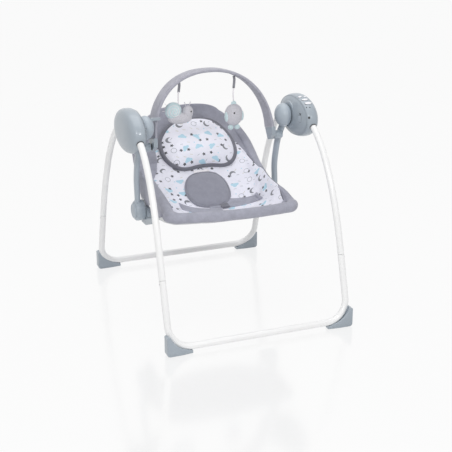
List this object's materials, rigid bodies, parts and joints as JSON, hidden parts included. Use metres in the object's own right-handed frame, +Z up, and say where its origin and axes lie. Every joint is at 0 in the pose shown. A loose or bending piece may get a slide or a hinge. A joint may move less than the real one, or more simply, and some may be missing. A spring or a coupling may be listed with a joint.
{
  "type": "baby swing",
  "caption": "Folding baby swing: arched white tube frame with rounded side hubs, curved swing arms, a padded reclining fabric seat and a toy bar with hanging soft toys.",
  "frame": {"origin": "on the floor midway between the four feet", "axes": "+Z up; -Y towards the child's feet (the front); +X to the side of the hub with the controls"},
  "size_m": [0.59, 0.727, 0.6945],
  "materials": {
    "frame_enamel": "white gloss enamel on steel tube",
    "hub_plastic": "blue-grey moulded plastic, satin gloss",
    "button_plastic": "white moulded plastic",
    "dark_plastic": "dark moulded plastic",
    "bare_steel": "plain steel",
    "cell_wrap": null,
    "board": "green circuit board",
    "seat_cloth": "mid-grey brushed woven fabric",
    "bar_cloth": "light grey sleeve fabric",
    "print_cloth": "near-white cotton with small scattered print",
    "plush": "grey-beige plush with mint details"
  },
  "bodies": {
    "front_frame": {"front_floor_tube": "frame_enamel", "front_right_leg": "frame_enamel", "front_left_leg": "frame_enamel", "front_right_foot": "hub_plastic", "front_left_foot": "hub_plastic", "right_hub_inner_shell": "hub_plastic", "left_hub_inner_shell": "hub_plastic", "right_hub_outer_shell": "hub_plastic", "left_hub_outer_shell": "hub_plastic", "right_bearing_plate": "dark_plastic", "left_bearing_plate": "dark_plastic", "right_bush": "button_plastic", "left_bush": "button_plastic", "battery_door": "hub_plastic", "motor": "bare_steel", "circuit_board": "board", "speaker": "dark_plastic", "power_inlet": "dark_plastic", "battery_1": "cell_wrap", "battery_2": "cell_wrap", "battery_3": "cell_wrap", "battery_4": "cell_wrap"},
    "rear_frame": {"rear_floor_tube": "frame_enamel", "rear_right_leg": "frame_enamel", "rear_left_leg": "frame_enamel", "rear_right_foot": "hub_plastic", "rear_left_foot": "hub_plastic", "right_fold_disc": "dark_plastic", "left_fold_disc": "dark_plastic"},
    "worm": {"worm": "button_plastic"},
    "worm_wheel": {"worm_wheel": "button_plastic"},
    "right_release": {"right_release_button": "hub_plastic"},
    "left_release": {"left_release_button": "hub_plastic"},
    "button_1": {"control_button_1": "button_plastic"},
    "button_2": {"control_button_2": "button_plastic"},
    "button_3": {"control_button_3": "button_plastic"},
    "button_4": {"control_button_4": "button_plastic"},
    "swing": {"right_arm": "hub_plastic", "left_arm": "hub_plastic", "right_axle": "bare_steel", "left_axle": "bare_steel"},
    "swing_lock": {"swing_lock": "hub_plastic"},
    "right_recline_release": {"right_recline_cap": "hub_plastic"},
    "left_recline_release": {"left_recline_cap": "hub_plastic"},
    "seat": {"right_seat_bracket": "hub_plastic", "left_seat_bracket": "hub_plastic", "seat_front_tube": "bare_steel", "seat_back_tube": "bare_steel", "seat_shell": "seat_cloth", "front_roll": "seat_cloth", "seat_liner": "print_cloth", "head_pillow": "print_cloth", "crotch_pad": "seat_cloth", "right_waist_strap": "seat_cloth", "left_waist_strap": "seat_cloth"},
    "toy_bar": {"toy_bar_band": "bar_cloth", "right_toy_bar_end": "hub_plastic", "left_toy_bar_end": "hub_plastic"},
    "bird": {"bird_toy": "plush"},
    "snail": {"snail_toy": "plush"}
  },
  "joints": [
    {"name": "frame_fold", "type": "hinge", "parent": "front_frame", "child": "rear_frame", "pos_m": [0, 0, 0.55], "axis": [1, 0, 0], "range_deg": [-58, 0]},
    {"name": "seat_swing", "type": "hinge", "parent": "front_frame", "child": "swing", "pos_m": [0, 0, 0.55], "axis": [1, 0, 0], "range_deg": [-15, 15]},
    {"name": "worm_wheel_spin", "type": "hinge", "parent": "front_frame", "child": "worm_wheel", "pos_m": [0.2455, -0.012, 0.573], "axis": [1, 0, 0], "continuous": true},
    {"name": "worm_spin", "type": "hinge", "parent": "front_frame", "child": "worm", "pos_m": [0.2455, -0.028, 0.573], "axis": [0, 0, 1], "continuous": true},
    {"name": "right_fold_release", "type": "slide", "parent": "front_frame", "child": "right_release", "axis": [1, 0, 0], "range_m": [0, 0.003], "stiffness_N_per_m": 400},
    {"name": "left_fold_release", "type": "slide", "parent": "front_frame", "child": "left_release", "axis": [-1, 0, 0], "range_m": [0, 0.003], "stiffness_N_per_m": 400},
    {"name": "press_button_1", "type": "slide", "parent": "front_frame", "child": "button_1", "axis": [0.2046, 0.1523, -0.9669], "range_m": [0, 0.0012], "stiffness_N_per_m": 400},
    {"name": "press_button_2", "type": "slide", "parent": "front_frame", "child": "button_2", "axis": [-0.0969, 0.1665, -0.9813], "range_m": [0, 0.0012], "stiffness_N_per_m": 400},
    {"name": "press_button_3", "type": "slide", "parent": "front_frame", "child": "button_3", "axis": [0.0279, 0.2975, -0.9543], "range_m": [0, 0.0012], "stiffness_N_per_m": 400},
    {"name": "press_button_4", "type": "slide", "parent": "front_frame", "child": "button_4", "axis": [0.0011, 0.4457, -0.8952], "range_m": [0, 0.0012], "stiffness_N_per_m": 400},
    {"name": "lock_slide", "type": "slide", "parent": "swing", "child": "swing_lock", "axis": [-1, 0, 0], "range_m": [0, 0.006]},
    {"name": "right_recline_press", "type": "slide", "parent": "swing", "child": "right_recline_release", "axis": [-1, 0, 0], "range_m": [0, 0.003], "stiffness_N_per_m": 400},
    {"name": "left_recline_press", "type": "slide", "parent": "swing", "child": "left_recline_release", "axis": [1, 0, 0], "range_m": [0, 0.003], "stiffness_N_per_m": 400},
    {"name": "seat_recline", "type": "hinge", "parent": "swing", "child": "seat", "pos_m": [0, 0.072, 0.28], "axis": [1, 0, 0], "range_deg": [0, 12]},
    {"name": "toy_bar_fold", "type": "hinge", "parent": "swing", "child": "toy_bar", "pos_m": [0, 0.0235, 0.485], "axis": [1, 0, 0], "range_deg": [-35, 0]},
    {"name": "bird_swing", "type": "hinge", "parent": "toy_bar", "child": "bird", "pos_m": [0.08417, 0.06789, 0.66709], "axis": [1, 0, 0], "range_deg": [-18, 18]},
    {"name": "snail_swing", "type": "hinge", "parent": "toy_bar", "child": "snail", "pos_m": [-0.08964, 0.0672, 0.66446], "axis": [1, 0, 0], "range_deg": [-18, 18]}
  ],
  "couplings": [
    {"joint": "worm_wheel_spin", "follows": "worm_spin", "ratio": 0.05}
  ]
}
